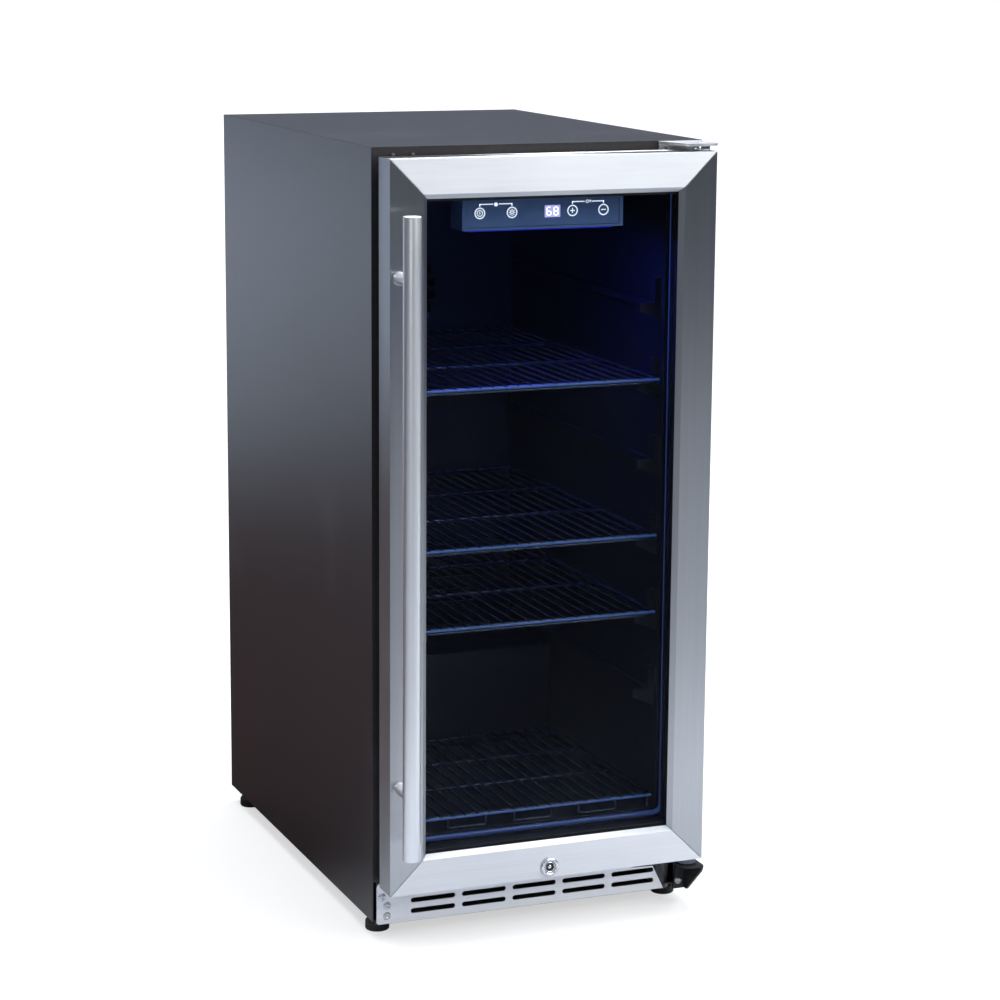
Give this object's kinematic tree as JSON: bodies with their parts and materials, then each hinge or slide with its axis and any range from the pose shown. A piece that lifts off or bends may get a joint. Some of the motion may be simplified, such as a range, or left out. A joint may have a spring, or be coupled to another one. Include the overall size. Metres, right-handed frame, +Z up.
{
  "type": "mini fridge",
  "caption": "Undercounter drinks fridge with a hinged glass door in a mitred steel frame, bar handle, key lock, wire shelves and a lit control box.",
  "frame": {"origin": "middle of the whole object's footprint, on the floor", "axes": "+Z up, the door faces -Y, the hinges are on the +X side"},
  "size_m": [0.378, 0.6323, 0.859],
  "materials": {
    "painted_cabinet": "semi-gloss, fine orange peel",
    "stainless": "brushed along each rail",
    "bright_metal": "polished plating",
    "galvanised_sheet": "dull zinc",
    "black_steel": "satin black",
    "rubber": "matt",
    "gasket_vinyl": "soft matt",
    "foam": "rigid foam",
    "liner_plastic": "vacuum formed, satin",
    "black_plastic": "moulded, fine grain",
    "grey_nylon": "satin",
    "control_face": "gloss",
    "circuit_board": "satin",
    "led_lens": "frosted",
    "coated_wire": "dip coated gloss",
    "aluminium_fins": "mill finish",
    "copper": "drawn copper tube",
    "glass": "clear, low-E double pane"
  },
  "bodies": {
    "cabinet": {"cabinet_shell": "painted_cabinet", "back_panel": "galvanised_sheet", "rear_cover": "black_steel", "cord_gland": "rubber", "foam_insulation": "foam", "liner": "liner_plastic", "base_pan": "painted_cabinet", "kick_plate": "stainless", "kick_plate_screw_1": "bright_metal", "kick_plate_screw_2": "bright_metal", "kick_plate_screw_3": "bright_metal", "lock_strike": "bright_metal", "top_hinge_plate": "bright_metal", "top_hinge_pin": "bright_metal", "top_hinge_screw": "bright_metal", "bottom_hinge_bracket": "black_steel", "bottom_hinge_pin": "grey_nylon", "bottom_hinge_screw": "bright_metal", "control_housing": "black_plastic", "control_overlay": "control_face", "control_board": "circuit_board", "led_lens": "led_lens", "shelf_lower": "coated_wire", "shelf_middle": "coated_wire", "shelf_upper": "coated_wire", "bottom_rack": "coated_wire", "evaporator_cover": "liner_plastic", "evaporator": "aluminium_fins", "evaporator_fan_motor": "black_steel", "compressor": "black_steel", "condenser": "aluminium_fins", "condenser_fan_frame": "galvanised_sheet", "drip_tray": "black_plastic", "drain_tube": "black_plastic", "refrigerant_pipe": "copper"},
    "door": {"door_rail_top": "stainless", "door_rail_bottom": "stainless", "door_rail_left": "stainless", "door_rail_right": "stainless", "door_inner_frame": "black_plastic", "door_gasket": "gasket_vinyl", "glass_outer": "glass", "glass_spacer": "black_plastic", "glass_inner": "glass", "handle_bar": "stainless", "handle_post_upper": "bright_metal", "handle_post_lower": "bright_metal", "lock_bezel": "bright_metal"},
    "lock": {"lock_cylinder": "bright_metal", "lock_cam": "bright_metal"},
    "foot_front_left": {"foot_front_left": "rubber"},
    "foot_front_right": {"foot_front_right": "rubber"},
    "foot_rear_left": {"foot_rear_left": "rubber"},
    "foot_rear_right": {"foot_rear_right": "rubber"},
    "button_power": {"button_power": "control_face"},
    "button_light": {"button_light": "control_face"},
    "button_up": {"button_up": "control_face"},
    "button_down": {"button_down": "control_face"},
    "evaporator_fan": {"evaporator_fan": "black_plastic"},
    "condenser_fan": {"condenser_fan": "black_plastic"}
  },
  "joints": [
    {"name": "door_hinge", "type": "hinge", "parent": "cabinet", "child": "door", "pos_m": [0.1735, -0.2515, 0.456], "axis": [0, 0, 1], "range_deg": [0, 110]},
    {"name": "lock_turn", "type": "hinge", "parent": "door", "child": "lock", "pos_m": [0, -0.2515, 0.0747], "axis": [0, -1, 0], "range_deg": [0, 90]},
    {"name": "foot_front_left_height", "type": "slide", "parent": "cabinet", "child": "foot_front_left", "axis": [0, 0, -1], "range_m": [0, 0.015]},
    {"name": "foot_front_right_height", "type": "slide", "parent": "cabinet", "child": "foot_front_right", "axis": [0, 0, -1], "range_m": [0, 0.015]},
    {"name": "foot_rear_left_height", "type": "slide", "parent": "cabinet", "child": "foot_rear_left", "axis": [0, 0, -1], "range_m": [0, 0.015]},
    {"name": "foot_rear_right_height", "type": "slide", "parent": "cabinet", "child": "foot_rear_right", "axis": [0, 0, -1], "range_m": [0, 0.015]},
    {"name": "button_power_press", "type": "slide", "parent": "cabinet", "child": "button_power", "axis": [0, 1, 0], "range_m": [0, 0.0006], "stiffness_N_per_m": 900},
    {"name": "button_light_press", "type": "slide", "parent": "cabinet", "child": "button_light", "axis": [0, 1, 0], "range_m": [0, 0.0006], "stiffness_N_per_m": 900},
    {"name": "button_up_press", "type": "slide", "parent": "cabinet", "child": "button_up", "axis": [0, 1, 0], "range_m": [0, 0.0006], "stiffness_N_per_m": 900},
    {"name": "button_down_press", "type": "slide", "parent": "cabinet", "child": "button_down", "axis": [0, 1, 0], "range_m": [0, 0.0006], "stiffness_N_per_m": 900},
    {"name": "evaporator_fan_spin", "type": "hinge", "parent": "cabinet", "child": "evaporator_fan", "pos_m": [0, 0.2305, 0.65], "axis": [0, 1, 0], "continuous": true},
    {"name": "condenser_fan_spin", "type": "hinge", "parent": "cabinet", "child": "condenser_fan", "pos_m": [-0.11, 0.1655, 0.1], "axis": [0, 1, 0], "continuous": true}
  ]
}
